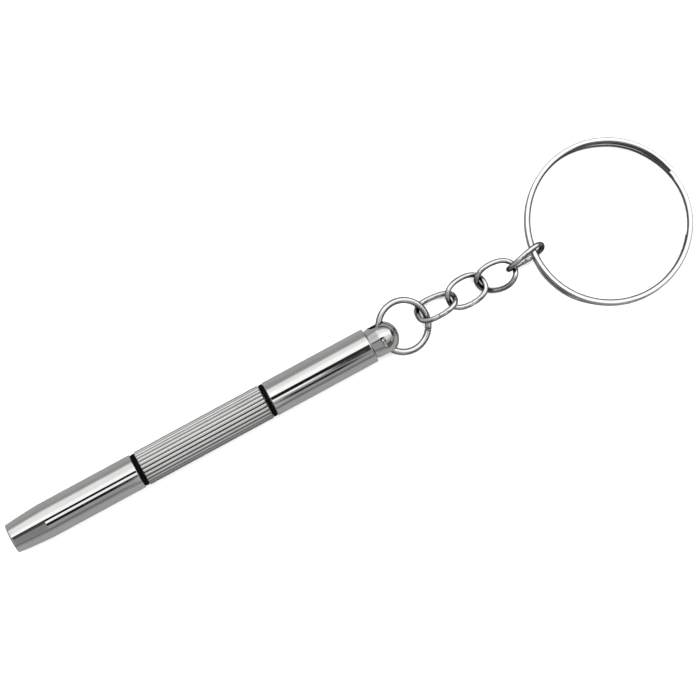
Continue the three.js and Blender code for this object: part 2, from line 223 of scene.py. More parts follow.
# Split ring. The spans give where the lower turn starts to move, is fully moved, eases and is back under
# the upper turn, in degrees along the wire
SPLIT_RADIUS = 14.05
FLAT_WIRE_WIDTH = 0.95
SPLIT_HEIGHT = 1.95
TURN_GAP = 0.03
OUTER_FILLET = 0.24
INNER_FILLET = 0.36
JOG_ANGLE = 40
FREE_END_ANGLE = 16.7
END_GAP_ANGLE = 4
LOWER_TUCK = 0.4
TUCK_SPAN = (340, 385, 415, 455)
LOWER_SPREAD = 0.25
SPREAD_SPAN = (522, 542, 558, 585)
SPLIT_HANG = 1.7
SPLIT_SWING = -6.1
SPLIT_TILT = 3.5

# Where the tool axis is, read from the caps' boxes
front_high = np.array(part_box("front_cap")[1]) / MM
rear_low, rear_high = (np.array(c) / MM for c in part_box("rear_cap"))
AXIS = np.array([(front_high[0] + rear_low[0]) / 2, *((rear_low + rear_high) / 2)[1:]])
GRIP_END = GRIP_LENGTH / 2
MOUTH = GRIP_END + SEAL_WIDTH
SPIGOT_END = MOUTH + THREAD_LENGTH
NOSE = -(MOUTH + FRONT_CAP_LENGTH)
TAIL = MOUTH + REAR_CAP_LENGTH


def round_angles(count):
    """Equal angles once round."""
    return np.arange(count) * TURN / count


def spin(axis, degrees):
    """Matrix that turns by an angle about X, Y or Z."""
    c, s = math.cos(math.radians(degrees)), math.sin(math.radians(degrees))
    i = "XYZ".index(axis)
    j, k = (i + 1) % 3, (i + 2) % 3
    turn = np.eye(3)
    turn[j, j], turn[j, k], turn[k, j], turn[k, k] = c, -s, s, c
    return turn


def ease(value, low, high):
    """0 below low, 1 above high and a smooth S between them."""
    t = np.clip((value - low) / (high - low), 0, 1)
    return t * t * (3 - 2 * t)


def swell(value, start, full, eases, end):
    """0 up to the start, 1 from full until it eases and 0 again past the end, with smooth changes."""
    return ease(value, start, full) - ease(value, eases, end)


def unit(vectors):
    """Vectors at length 1."""
    return vectors / np.linalg.norm(vectors, axis=-1, keepdims=True)


def rounded(corners, steps=6, guard=0.03):
    """Profile through corners (x, r, fillet): an arc tangent to both runs takes each corner's place,
    with a guard point close beside it on each run, so that the run keeps its own even shading."""
    points = [np.array(corners[0][:2], float)]
    for before, here, after in zip(corners, corners[1:], corners[2:]):
        p = np.array(here[:2], float)
        a, b = unit(np.array(before[:2], float) - p), unit(np.array(after[:2], float) - p)
        half = math.acos(max(-1.0, min(1.0, float(a @ b)))) / 2
        if here[2] <= 0 or half > math.radians(89.5):
            points.append(p)
            continue
        reach = here[2] / math.tan(half)
        centre = p + unit(a + b) * here[2] / math.sin(half)
        start, stop = p + a * reach - centre, p + b * reach - centre
        share = np.linspace(0, 1, steps + 1)[:, None]
        swing = math.pi - 2 * half
        arc = (np.sin((1 - share) * swing) * start + np.sin(share * swing) * stop) / math.sin(swing)
        points += [p + a * (reach + guard), *(centre + arc), p + b * (reach + guard)]
    points.append(np.array(corners[-1][:2], float))
    return np.array(points)


def turned(profile, count=ROUND_STEPS):
    """Points of a turned form: each [x, r] of the profile carried round the X axis."""
    x, r = np.asarray(profile, float).T
    return spun(x, np.repeat(r[:, None], count, axis=1))


def spun(x, r):
    """Points of a form about X whose radius r[i, j] may differ at each place x[i] and angle j."""
    a = round_angles(r.shape[1])
    return np.stack([np.repeat(x[:, None], r.shape[1], axis=1), r * np.cos(a), r * np.sin(a)], -1)


def carried(path, across, up, section):
    """Points of a section carried along a path: path + across * section u + up * section v."""
    u, v = section[:, 0], section[:, 1]
    return path[:, None] + across[:, None] * u[None, :, None] + up[:, None] * v[None, :, None]


def skin(points, loop=False):
    """Closed skin over points[i, j]. j closes on itself, and so does i where loop is true. Otherwise
    each end of i is closed by a fan of triangles to its middle. An end row that is a single point is
    that middle itself. Returns vertices, faces and the UV of each face corner in metres."""
    middles = points[0].mean(0), points[-1].mean(0)
    if not loop:
        first, last = (int(np.ptp(row, axis=0).max() < SINGLE_POINT) for row in (points[0], points[-1]))
        points = points[first:len(points) - last]
    rows, count = points.shape[:2]
    step_i = np.linalg.norm(np.diff(points, axis=0, append=points[:1]), axis=2).mean(1)
    step_j = np.linalg.norm(np.diff(points, axis=1, append=points[:, :1]), axis=2).mean(0)
    along = np.concatenate([[0], np.cumsum(step_i)]) * MM
    around = np.concatenate([[0], np.cumsum(step_j)]) * MM
    verts = points.reshape(-1, 3)
    i, j = np.meshgrid(np.arange(rows if loop else rows - 1), np.arange(count), indexing="ij")
    i, j = i.ravel(), j.ravel()

    def at(a, b):
        """Number of the vertex in row a at place b."""
        return (a % rows) * count + b % count

    quads = np.stack([at(i, j), at(i, j + 1), at(i + 1, j + 1), at(i + 1, j)], 1)
    quad_uv = np.stack([
        np.stack([along[i], along[i], along[i + 1], along[i + 1]], 1),
        np.stack([around[j], around[j + 1], around[j + 1], around[j]], 1),
    ], -1)
    faces, uvs = quads.tolist(), [quad_uv.reshape(-1, 2)]
    if not loop:
        ring = np.arange(count)
        for row, middle, turn_back in ((0, middles[0], True), (rows - 1, middles[1], False)):
            pole = len(verts)
            verts = np.vstack([verts, middle])
            a, b = at(row, ring), at(row, ring + 1)
            fan = np.stack([b, a, np.full(count, pole)] if turn_back else [a, b, np.full(count, pole)], 1)
            faces += fan.tolist()
            uvs.append(np.stack([np.full(3 * count, along[row]), np.repeat(around[:-1], 3)], 1))
    return verts, faces, np.vstack(uvs)


def outward(shell):
    """The skin with its faces turned outwards, by the sign of the volume that they enclose."""
    verts, faces, uvs = shell
    corners = np.array([f[:3] for f in faces] + [[f[0], f[2], f[3]] for f in faces if len(f) == 4])
    a, b, c = (verts[corners[:, k]] for k in range(3))
    if np.einsum("ij,ij->i", a, np.cross(b, c)).sum() > 0:
        return shell
    sizes = np.array([len(f) for f in faces])
    starts = np.concatenate([[0], np.cumsum(sizes)[:-1]])
    order = np.concatenate([np.arange(s + n - 1, s - 1, -1) for s, n in zip(starts, sizes)])
    return verts, [f[::-1] for f in faces], uvs[order]


def make_piece(name, shells, finish, node, sharp=SHARP_EDGE, painted_shade=None):
    """One object from its closed skins in the row frame. It rides where the solid it stands for does.
    Painted shade is how dark the plate of the first skin is painted at each grid point, from 0 to 1."""
    shells = [outward(s) for s in shells]
    bases = np.concatenate([[0], np.cumsum([len(s[0]) for s in shells])])
    verts = np.vstack([s[0] for s in shells]) * MM
    faces = [[k + base for k in f] for s, base in zip(shells, bases.tolist()) for f in s[1]]
    mesh = bpy.data.meshes.new(name)
    mesh.from_pydata(verts.tolist(), [], faces)
    layer = mesh.uv_layers.new(name="lay")
    layer.data.foreach_set("uv", np.vstack([s[2] for s in shells]).astype(np.float32).ravel())
    mesh.polygons.foreach_set("use_smooth", np.ones(len(faces), bool))
    # Painted shade: how dark each point of the first skin is painted, stored on the mesh
    if painted_shade is not None:
        shade_paint = np.zeros(len(verts), np.float32)
        shade_paint[:painted_shade.size] = painted_shade.ravel()
        mesh.attributes.new("painted_shade", "FLOAT", "POINT").data.foreach_set("value", shade_paint)
    mesh.validate()
    mesh.set_sharp_from_angle(angle=math.radians(sharp))
    mesh.materials.append(finish)
    piece = bpy.data.objects.new(name, mesh)
    bpy.context.scene.collection.objects.link(piece)
    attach(piece, frame["nodes"][node]["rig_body"])
    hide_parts(node)
    return piece


def on_axis(points):
    """Points about the tool's own axis, moved to where the axis lies in the row frame."""
    return points + AXIS


# Finishes. The ranges are the part of a noise value that is spread to a roughness and to a tint

NOISE_SPAN = (0.3, 0.7)
TINT_SPAN = (0.35, 0.65)


def new_finish(name, base, metallic, roughness):
    """A material with its even values set on the shader itself. Returns its nodes, links and shader."""
    finish = bpy.data.materials.new(name)
    finish.use_nodes = True
    nodes, links = finish.node_tree.nodes, finish.node_tree.links
    shader = nodes["Principled BSDF"]
    shader.inputs["Base Color"].default_value = (*base, 1)
    shader.inputs["Metallic"].default_value = metallic
    shader.inputs["Roughness"].default_value = roughness
    return finish, nodes, links, shader


def add_noise(nodes, links, source, stretch, detail=4.0):
    """Noise on a coordinate output, with its grain stretched by a scale along each axis."""
    coordinates = nodes.new("ShaderNodeTexCoord")
    mapping = nodes.new("ShaderNodeMapping")
    mapping.inputs["Scale"].default_value = stretch
    noise = nodes.new("ShaderNodeTexNoise")
    noise.inputs["Scale"].default_value = 1.0
    noise.inputs["Detail"].default_value = detail
    links.new(coordinates.outputs[source], mapping.inputs["Vector"])
    links.new(mapping.outputs["Vector"], noise.inputs["Vector"])
    return noise.outputs["Fac"]


def spread(nodes, links, value, low, high, socket):
    """Sends a noise value to a shader socket, opened to the range low to high."""
    ranged = nodes.new("ShaderNodeMapRange")
    ranged.inputs["From Min"].default_value, ranged.inputs["From Max"].default_value = NOISE_SPAN
    ranged.inputs["To Min"].default_value = low
    ranged.inputs["To Max"].default_value = high
    links.new(value, ranged.inputs["Value"])
    links.new(ranged.outputs["Result"], socket)


def tint(nodes, links, value, dark, light, shader):
    """Varies the base colour between two close tones. Returns the output that carries the colour."""
    ramp = nodes.new("ShaderNodeValToRGB")
    for element, position, tone in zip(ramp.color_ramp.elements, TINT_SPAN, (dark, light)):
        element.position, element.color = position, (*tone, 1)
    links.new(value, ramp.inputs["Fac"])
    links.new(ramp.outputs["Color"], shader.inputs["Base Color"])
    return ramp.outputs["Color"]


def darken(nodes, links, colour, shade_paint, shader):
    """Paints shade into the base colour: darkens it to a dark tone where the mesh carries painted shade."""
    painted_shade = nodes.new("ShaderNodeAttribute")
    painted_shade.attribute_name = "painted_shade"
    mix = nodes.new("ShaderNodeMix")
    mix.data_type = "RGBA"
    tones = [s for s in mix.inputs if s.type == "RGBA"]
    tones[1].default_value = (*shade_paint, 1)
    links.new(painted_shade.outputs["Fac"], mix.inputs["Factor"])
    links.new(colour, tones[0])
    links.new([s for s in mix.outputs if s.type == "RGBA"][0], shader.inputs["Base Color"])


def add_bump(nodes, links, value, strength, depth, shader):
    """Fine relief from a noise value, with its depth in metres."""
    bump = nodes.new("ShaderNodeBump")
    bump.inputs["Strength"].default_value = strength
    bump.inputs["Distance"].default_value = depth
    links.new(value, bump.inputs["Height"])
    links.new(bump.outputs["Normal"], shader.inputs["Normal"])


def chrome_finish():
    """Bright chrome plate: near mirror, with faint handling haze, a slight wave in the plate and painted
    shade where the mesh carries it.
    """
    finish, nodes, links, shader = new_finish("chrome_plate", (0.58, 0.58, 0.57), 1.0, 0.05)
    haze = add_noise(nodes, links, "Object", (260, 420, 420))
    spread(nodes, links, haze, 0.02, 0.06, shader.inputs["Roughness"])
    plate = tint(nodes, links, haze, (0.56, 0.56, 0.555), (0.6, 0.6, 0.59), shader)
    # Painted shade: darkens the plate in the grip's grooves and front rows and in the ball's cross hole
    darken(nodes, links, plate, (0.03, 0.03, 0.028), shader)
    wave = add_noise(nodes, links, "Object", (180, 900, 900), 2.0)
    add_bump(nodes, links, wave, 0.12, 0.00001, shader)
    return finish


def nickel_finish():
    """Nickel-plated drawn wire: fine lines along the wire, with painted shade where the mesh carries it."""
    finish, nodes, links, shader = new_finish("nickel_plate", (0.7, 0.7, 0.69), 1.0, 0.06)
    shader.inputs["Specular Tint"].default_value = (0.3, 0.3, 0.3, 1)
    lines = add_noise(nodes, links, "UV", (500, 9000, 1), 3.0)
    spread(nodes, links, lines, 0.03, 0.09, shader.inputs["Roughness"])
    plate = tint(nodes, links, lines, (0.66, 0.66, 0.65), (0.74, 0.74, 0.73), shader)
    # Painted shade: darkens the wire's sides, underside, crossings and butt ends where the mesh carries it
    darken(nodes, links, plate, (0.03, 0.03, 0.029), shader)
    add_bump(nodes, links, lines, 0.1, 0.00001, shader)
    return finish


def steel_finish():
    """Ground tool steel: grinding lines along the blade over a darker, duller metal."""
    finish, nodes, links, shader = new_finish("ground_steel", (0.4, 0.4, 0.395), 1.0, 0.3)
    lines = add_noise(nodes, links, "Object", (300, 9000, 9000), 3.0)
    spread(nodes, links, lines, 0.22, 0.4, shader.inputs["Roughness"])
    tint(nodes, links, lines, (0.34, 0.34, 0.335), (0.46, 0.46, 0.455), shader)
    add_bump(nodes, links, lines, 0.25, 0.00001, shader)
    return finish


def rubber_finish():
    """Black rubber: matt, with a fine moulded grain."""
    finish, nodes, links, shader = new_finish("black_rubber", (0.002, 0.002, 0.002), 0.0, 0.55)
    shader.inputs["Specular IOR Level"].default_value = 0.012
    grain = add_noise(nodes, links, "Object", (6000, 6000, 6000), 4.0)
    spread(nodes, links, grain, 0.45, 0.7, shader.inputs["Roughness"])
    tint(nodes, links, grain, (0.001, 0.001, 0.001), (0.004, 0.004, 0.004), shader)
    add_bump(nodes, links, grain, 0.2, 0.00002, shader)
    return finish


chrome, nickel, steel, rubber = chrome_finish(), nickel_finish(), steel_finish(), rubber_finish()


# Grip, seals and blades


def ribbed_bar():
    """Grip body: radius = body - depth * |2p| ** roundness, where p runs from -1/2 to 1/2 over each rib,
    so that rounded crests fall to sharp grooves, cut back by a cone at each end. Its painted shade
    fills the grooves, where |2p| nears 1, wider towards the front, and thinly covers the front rows."""
    a = round_angles(RIBS * RIB_STEPS)
    p = np.abs((a * RIBS / TURN) % 1 - 0.5)
    rib = BODY_RADIUS - RIB_DEPTH * (2 * p) ** RIB_ROUNDNESS
    inset = np.concatenate([np.linspace(0, 1.5 * GRIP_END_BREAK, GRIP_END_ROWS), [0.4, 1.5]])
    from_end = np.concatenate([inset, [GRIP_END], inset[::-1]])
    x = np.concatenate([-GRIP_END + inset, [0], GRIP_END - inset[::-1]])
    cone = BODY_RADIUS - GRIP_END_BREAK + from_end
    # Painted shade: dark in the grooves, wider towards the front, and thin over the front rows
    front = -np.cos(a)
    edge = BACK_GROOVE_EDGE + (FRONT_GROOVE_EDGE - BACK_GROOVE_EDGE) * ease(front, *BACK_TO_FRONT)
    grooves = GROOVE_SHADE * ease(2 * p, edge, edge + GROOVE_EDGE_EASE)
    painted_shade = np.tile(np.maximum(grooves, FRONT_ROW_SHADE * ease(front, *FRONT_ROW)), (len(x), 1))
    return spun(x, np.minimum(rib[None], cone[:, None])), painted_shade


def threaded(x, base, depth, start, stop, sign):
    """Radius of a thread about X: base + depth * tooth, where the tooth is a rounded ridge that climbs
    one pitch each turn and fades out beyond start and stop. Depth is negative for an inside thread."""
    a = round_angles(THREAD_STEPS)
    phase = (x[:, None] / THREAD_PITCH - sign * a[None] / TURN) % 1
    tooth = ease(1 - np.abs(2 * phase - 1), *TOOTH_FLANK)
    fade = ease(x, start, start + THREAD_PITCH) * (1 - ease(x, stop - THREAD_PITCH, stop))
    return base + depth * tooth * fade[:, None]


def spigot():
    """Screw spigot on the +X end: a plain relief under the seal, the thread, then the blade's bore."""
    overlap, step, lead, edge = 0.6, 0.1, 0.3, 0.05
    plain = [(GRIP_END - overlap, 0), (GRIP_END - overlap, RELIEF_RADIUS), (MOUTH + step, RELIEF_RADIUS)]
    x = np.linspace(MOUTH + 2 * step, SPIGOT_END - lead, THREAD_ROWS)
    root = THREAD_RADIUS - THREAD_DEPTH
    screw = spun(x, threaded(x, root, THREAD_DEPTH, MOUTH + step, SPIGOT_END - step, 1))
    bore = BLADE_RADIUS + BLADE_FIT
    end = [
        (SPIGOT_END, root - lead + step), (SPIGOT_END, bore + edge), (SPIGOT_END - edge, bore),
        (SPIGOT_END - BLADE_SEAT, bore), (SPIGOT_END - BLADE_SEAT, 0),
    ]
    return np.vstack([turned(plain, THREAD_STEPS), screw, turned(end, THREAD_STEPS)])


def seal(tapered):
    """Squeezed seal ring on the +X side: a rounded band, narrower at the cap where it is tapered."""
    low, high = GRIP_END + SEAL_PLAY, MOUTH - SEAL_PLAY
    inside, middle = RELIEF_RADIUS + SEAL_SEAT_PLAY, 2.4
    cap_side = SEAL_RADIUS - (SEAL_TAPER if tapered else 0.0)
    grip_round, cap_round, inside_round = 0.12, 0.1, 0.05
    corners = [
        (low, middle, 0), (low, SEAL_RADIUS, grip_round), (high, cap_side, cap_round),
        (high, inside, inside_round), (low, inside, inside_round), (low, middle, 0),
    ]
    return turned(rounded(corners)[:-1])


def cross_blade():
    """Cross blade towards +X: a round shank ending in a blunt cone, cut by four V grooves that deepen
    towards the tip. A groove whose floor is at f limits the radius to f / (cos q - |sin q|), at angle q
    from its middle."""
    tip = SPIGOT_END + CROSS_REACH
    seat = SPIGOT_END - BLADE_SEAT + BLADE_BACK_GAP
    x = np.concatenate([[seat, seat + BLADE_BACK_EDGE], np.linspace(tip - CROSS_DETAIL, tip, CROSS_ROWS)])
    q = (round_angles(ROUND_STEPS) + math.pi / 4) % (math.pi / 2) - math.pi / 4
    floor = CROSS_ROOT + (tip - x) * (BLADE_RADIUS - CROSS_ROOT) / CROSS_RUN
    cone = np.minimum(BLADE_RADIUS, CROSS_TIP_RADIUS + (tip - x) * math.tan(math.radians(CROSS_HALF_POINT)))
    never_zero = 1e-3
    open_side = np.maximum(np.cos(q) - np.abs(np.sin(q)), never_zero)
    return spun(x, np.minimum(cone[:, None], floor[:, None] / open_side[None]))


def flat_blade():
    """Flat blade towards +X: a round shank ground from both sides. The ground faces limit the radius
    to half thickness / |sin a|, and the half thickness falls evenly to the straight tip."""
    tip = SPIGOT_END + FLAT_REACH
    seat = SPIGOT_END - BLADE_SEAT + BLADE_BACK_GAP
    before_ground = 0.02
    ground = np.linspace(tip - FLAT_GROUND - before_ground, tip, FLAT_ROWS)
    x = np.concatenate([[seat, seat + BLADE_BACK_EDGE], ground])
    run = FLAT_GROUND - FLAT_TIP_LENGTH
    fall = np.clip((tip - FLAT_TIP_LENGTH - x) / run, 0, 1)
    half = FLAT_TIP_HALF + (BLADE_RADIUS - FLAT_TIP_HALF) * fall
    never_zero = 1e-6
    sine = np.maximum(np.abs(np.sin(round_angles(ROUND_STEPS))), never_zero)
    return spun(x, np.minimum(BLADE_RADIUS, half[:, None] / sine[None]))


def mirrored(points):
    """The same form on the -X end."""
    return points * np.array([-1.0, 1.0, 1.0])


# The second value is painted shade for the grip's grooves and front rows
bar, groove_shade = ribbed_bar()
make_piece("ribbed_grip", [
    skin(on_axis(bar)),
    skin(on_axis(spigot())),
    skin(on_axis(mirrored(spigot()))),
], chrome, "grip", painted_shade=groove_shade)
front_seal, rear_seal = mirrored(seal(True)), seal(False)
make_piece("front_seal_ring", [skin(on_axis(front_seal), loop=True)], rubber, "front_seal")
make_piece("rear_seal_ring", [skin(on_axis(rear_seal), loop=True)], rubber, "rear_seal")
for name, node, blade in (
    ("cross_point_blade", "cross_blade", mirrored(cross_blade())),
    ("flat_point_blade", "flat_blade", flat_blade()),
):
    make_piece(name, [skin(on_axis(blade))], steel, node, SHARP_BLADE_EDGE)


# Caps


def inside_thread(mouth, sign):
    """Threaded mouth of a cap, from its mouth inwards: the crests stay clear of the spigot's thread."""
    depth = np.linspace(LEAD_LENGTH, THREAD_LENGTH + INSIDE_THREAD_RUN, THREAD_ROWS)
    root = THREAD_RADIUS + THREAD_PLAY + THREAD_DEPTH
    fade_in, fade_out = 0.1, THREAD_LENGTH + 0.45
    radius = threaded(depth, root, -THREAD_DEPTH, fade_in, fade_out, -sign)
    return spun(mouth + sign * depth, np.repeat(radius, 2, axis=1))


def hexagon_radius(count):
    """Radius of the socket's hexagon at each angle: half the flats / cos(angle from the flat's middle)."""
    a = round_angles(count)
    return SOCKET_HALF_FLATS / np.cos((a + math.pi / 6) % (math.pi / 3) - math.pi / 6)


def front_cap():
    """Front cap, from the socket's lead over the nose and along the taper to the mouth, then back
    inside through the thread, the bore and the pilot hole to the hexagon socket."""
    share = np.linspace(0.04, 1, TAPER_ROWS)
    bulge = 4 * TAPER_BULGE * share * (1 - share)
    taper_radius = NOSE_RADIUS + (BODY_RADIUS - NOSE_RADIUS) * share + bulge
    taper = np.stack([NOSE + TAPER_LENGTH * share, taper_radius], 1)
    lead = SOCKET_HALF_FLATS / math.cos(math.pi / 6) + SOCKET_LEAD
    nose = rounded([(NOSE, lead, 0), (NOSE, NOSE_RADIUS - 0.02, NOSE_BREAK), tuple(taper[0]) + (0,)])
    mouth = rounded([
        (NOSE + TAPER_LENGTH + 0.02, BODY_RADIUS, 0), (-MOUTH, BODY_RADIUS, EDGE_BREAK),
        (-MOUTH, MOUTH_RADIUS, MOUTH_FILLET), (-MOUTH - LEAD_LENGTH, LEAD_RADIUS, 0),
    ])
    bore_end = NOSE + SOCKET_DEPTH + SOCKET_WEB
    bore = [
        (-MOUTH - UNDERCUT_START, UNDERCUT_RADIUS), (-MOUTH - UNDERCUT_END, CAP_BORE_RADIUS),
        (bore_end + PILOT_CONE, CAP_BORE_RADIUS), (bore_end, PILOT_RADIUS),
        (NOSE + SOCKET_DEPTH, PILOT_RADIUS),
    ]
    outer = turned(np.vstack([nose[:-1], taper, mouth]))
    hexagon = hexagon_radius(ROUND_STEPS)
    floor_depths, lead_depths = [SOCKET_DEPTH, SOCKET_DEPTH - 0.03], np.linspace(0.5, 0.02, 25)
    depth = np.concatenate([floor_depths, lead_depths])
    socket = spun(NOSE + depth, np.maximum(hexagon[None], (lead - depth)[:, None]))
    return np.vstack([outer, inside_thread(-MOUTH, -1), turned(bore), socket])


def rear_cap():
    """Rear cap, from the mouth along the outside to the tail, through the stem's hole and back inside."""
    hole = STEM_RADIUS + STEM_FIT
    outside = rounded([
        (MOUTH + LEAD_LENGTH, LEAD_RADIUS, 0), (MOUTH, MOUTH_RADIUS, MOUTH_FILLET),
        (MOUTH, BODY_RADIUS, EDGE_BREAK), (TAIL, BODY_RADIUS, TAIL_BREAK), (TAIL, hole, 0.05),
        (TAIL - TAIL_WALL, hole, 0), (TAIL - TAIL_WALL - TAIL_CONE, CAP_BORE_RADIUS, 0),
        (MOUTH + UNDERCUT_END, CAP_BORE_RADIUS, 0), (MOUTH + UNDERCUT_START, UNDERCUT_RADIUS, 0),
    ])
    return np.vstack([turned(outside), inside_thread(MOUTH, 1)[::-1]])


make_piece("tapered_front_cap", [skin(on_axis(front_cap()), loop=True)], chrome, "front_cap")
make_piece("plain_rear_cap", [skin(on_axis(rear_cap()), loop=True)], chrome, "rear_cap")


# Ball end


def ball_outside(points):
    """How far points about the ball's centre lie outside the ball body: distance to the sphere in front of
    the tangent circle and to the tangent cone behind it, joined to the flat back by a small round."""
    x, r = points[..., 0], np.hypot(points[..., 1], points[..., 2])
    back = BALL_STANDOFF - COLLAR_SEAM
    polar = math.atan2(COLLAR_RADIUS, -back) - math.acos(BALL_RADIUS / math.hypot(COLLAR_RADIUS, back))
    on_sphere = np.hypot(x, r) - BALL_RADIUS
    on_cone = x * math.cos(polar) + r * math.sin(polar) - BALL_RADIUS
    side = np.where(x * math.sin(polar) < r * math.cos(polar), on_cone, on_sphere)
    behind = -back - x
    round_off = np.maximum(COLLAR_ROUND - np.abs(side - behind), 0) ** 2 / (4 * COLLAR_ROUND)
    return np.maximum(side, behind) + round_off


def found(low, high, outside):
    """Value between low and high where outside(value) changes from negative to positive, by halving."""
    halvings = 40
    for _ in range(halvings):
        middle = (low + high) / 2
        out = outside(middle) > 0
        low, high = np.where(out, low, middle), np.where(out, middle, high)
    return (low + high) / 2


def drilled_ball():
    """Ball body as rings about the axis of its cross hole: the outer face, found along rays square to that
    axis, a rounded lip at each mouth and the wall of the hole, with painted shade full on the wall and
    lighter on the lips."""
    lean = math.radians(BALL_HOLE_LEAN)
    axis = np.array([0.0, math.cos(lean), math.sin(lean)])
    cross = np.array([0.0, -math.sin(lean), math.cos(lean)])
    a = round_angles(BALL_STEPS)
    way = np.cos(a)[:, None] * np.array([1.0, 0.0, 0.0]) + np.sin(a)[:, None] * cross

    def place(s, r):
        """Points at s along the hole's axis and r away from it."""
        return s[..., None] * axis + r[..., None] * way

    lip_radius = np.full(len(a), BALL_HOLE_RADIUS + BALL_LIP)
    mouth = found(0 * a, 0 * a + 2 * BALL_RADIUS, lambda s: ball_outside(place(s, lip_radius)))
    s = mouth * np.linspace(-1, 1, BALL_ROWS)[:, None]
    outer = found(0 * s, 0 * s + 2 * BALL_RADIUS, lambda r: ball_outside(place(s, r)))
    swing = np.radians(np.linspace(0, 90, LIP_ROWS))[1:, None]
    lip_s = mouth - BALL_LIP * (1 - np.cos(swing))
    lip_r = BALL_HOLE_RADIUS + BALL_LIP * (1 - np.sin(swing)) + 0 * mouth
    wall_s = (mouth - BALL_LIP) * np.linspace(0.95, -0.95, WALL_ROWS)[:, None]
    wall_r = np.full(wall_s.shape, BALL_HOLE_RADIUS)
    along = np.vstack([s, lip_s, wall_s, -lip_s[::-1]])
    radius = np.vstack([outer, lip_r, wall_r, lip_r[::-1]])
    # Painted shade: full on the hole's wall, lighter on its lips
    painted_shade = np.vstack([0 * s, 0 * lip_s + LIP_SHADE, 0 * wall_s + 1, 0 * lip_s + LIP_SHADE])
    return place(along, radius), painted_shade


def ball_stem():
    """Stem of the ball end in the cap's tail, turned about the tool axis."""
    return turned(rounded([
        (TAIL - STEM_LENGTH, 0, 0), (TAIL - STEM_LENGTH, STEM_RADIUS, 0.2),
        (TAIL + STEM_OVERLAP, STEM_RADIUS, 0.05), (TAIL + STEM_OVERLAP, 0, 0),
    ]), THREAD_STEPS)


ball_centre = np.array([TAIL + BALL_STANDOFF, 0.0, 0.0])
# The second value is painted shade for the cross hole
ball, hole_shade = drilled_ball()
make_piece("drilled_ball_end", [
    skin(on_axis(ball + ball_centre), loop=True),
    skin(on_axis(ball_stem())),
], chrome, "ball_end", painted_shade=hole_shade)


# Chain: each piece's place follows from the one before it


def round_section(diameter, count=28):
    """Circle of the wire's diameter."""
    a = round_angles(count)
    return np.stack([np.cos(a), np.sin(a)], 1) * diameter / 2


def rounded_ends(path, across, up, diameter):
    """Wire along a path with softly rounded cut ends: the section shrinks over a short ease length. The
    wire is drawn a little under its size, so that round links clear each other as faceted ones do."""
    reach = np.concatenate([[0], np.cumsum(np.linalg.norm(np.diff(path, axis=0), axis=1))])
    from_end = np.minimum(reach, reach[-1] - reach)
    t = np.clip(from_end / CUT_EASE, 0, 1)
    size = 1 - CUT_SHRINK * (1 - np.sqrt(1 - (1 - t) ** 2))
    points = carried(path, across, up, round_section(diameter - DRAWN_UNDER))
    return path[:, None] + (points - path[:, None]) * size[:, None, None]


def wire_steps(count):
    """Shares along a wire, closer together at its two ends."""
    near = np.array([0, 0.0006, 0.0013, 0.002, 0.003, 0.0045])
    return np.concatenate([near, np.linspace(0.008, 0.992, count), 1 - near[::-1]])


def jump_ring():
    """Plain ring of round wire about Z, open at a fine butt seam."""
    gap = BUTT_GAP / JUMP_RADIUS
    a = math.radians(JUMP_SEAM) + gap / 2 + wire_steps(220) * (TURN - gap)
    across = np.stack([np.cos(a), np.sin(a), 0 * a], 1)
    up = np.tile([0.0, 0.0, 1.0], (len(a), 1))
    return rounded_ends(JUMP_RADIUS * across, across, up, JUMP_WIRE)


def chain_link(twist):
    """Curb link along X: a full oval |x/a|**n + |y/b|**n = 1 of round wire, whose plane rolls evenly
    from one end to the other, open at a fine butt seam in the middle of one side."""
    a_half, b_half = (LINK_LENGTH - LINK_WIRE) / 2, (LINK_WIDTH - LINK_WIRE) / 2
    gap = (BUTT_GAP / 2 / a_half) ** (LINK_FULLNESS / 2)
    angle = 1.5 * math.pi + gap + wire_steps(260) * 2 * (math.pi - gap)

    def full(v):
        """A sine or cosine, bent so that the oval is fuller at its corners."""
        return np.sign(v) * np.abs(v) ** (2 / LINK_FULLNESS)

    x, y = a_half * full(np.cos(angle)), b_half * full(np.sin(angle))
    roll = -math.radians(twist) * x / a_half
    path = np.stack([x, y * np.cos(roll), y * np.sin(roll)], 1)
    tangent = unit(np.gradient(path, axis=0))
    level = np.stack([0 * x, -np.sin(roll), np.cos(roll)], 1)
    across = unit(np.cross(tangent, level))
    return rounded_ends(path, across, np.cross(across, tangent), LINK_WIRE)


def lay_turn(roll, pitch, yaw):
    """Turn of a piece from its lay angles: roll first, then pitch, then yaw."""
    return spin("Z", yaw) @ spin("Y", -pitch) @ spin("X", roll)


def flat_section():
    """Rounded rectangle of the split ring's wire, u across the ring and v along its axis, rounder inside."""
    w, h = FLAT_WIRE_WIDTH / 2, (SPLIT_HEIGHT - TURN_GAP) / 4
    return rounded([
        (0, -h, 0), (w, -h, OUTER_FILLET), (w, h, OUTER_FILLET),
        (-w, h, INNER_FILLET), (-w, -h, INNER_FILLET), (0, -h, 0),
    ], 5)[:-1]


def split_ring():
    """Two turns of flat wire about Z: the upper turn, an S-shaped jog down, then the lower turn, which
    is tucked inside the upper one past the free end and spread outside it at the chain."""
    turn_length = 360 - JOG_ANGLE - END_GAP_ANGLE
    total = 2 * turn_length + JOG_ANGLE
    along = wire_steps(560) * total
    angle = np.radians(FREE_END_ANGLE + along)
    rise = (SPLIT_HEIGHT + TURN_GAP) / 4
    height = rise * (1 - 2 * ease(along, turn_length, turn_length + JOG_ANGLE))
    radius = SPLIT_RADIUS - FLAT_WIRE_WIDTH / 2
    radius = radius - LOWER_TUCK * swell(along, *TUCK_SPAN) + LOWER_SPREAD * swell(along, *SPREAD_SPAN)
    across = np.stack([np.cos(angle), np.sin(angle), 0 * angle], 1)
    path = radius[:, None] * across + np.stack([0 * height, 0 * height, height], 1)
    tangent = unit(np.gradient(path, axis=0))
    return carried(path, across, np.cross(across, tangent), flat_section())


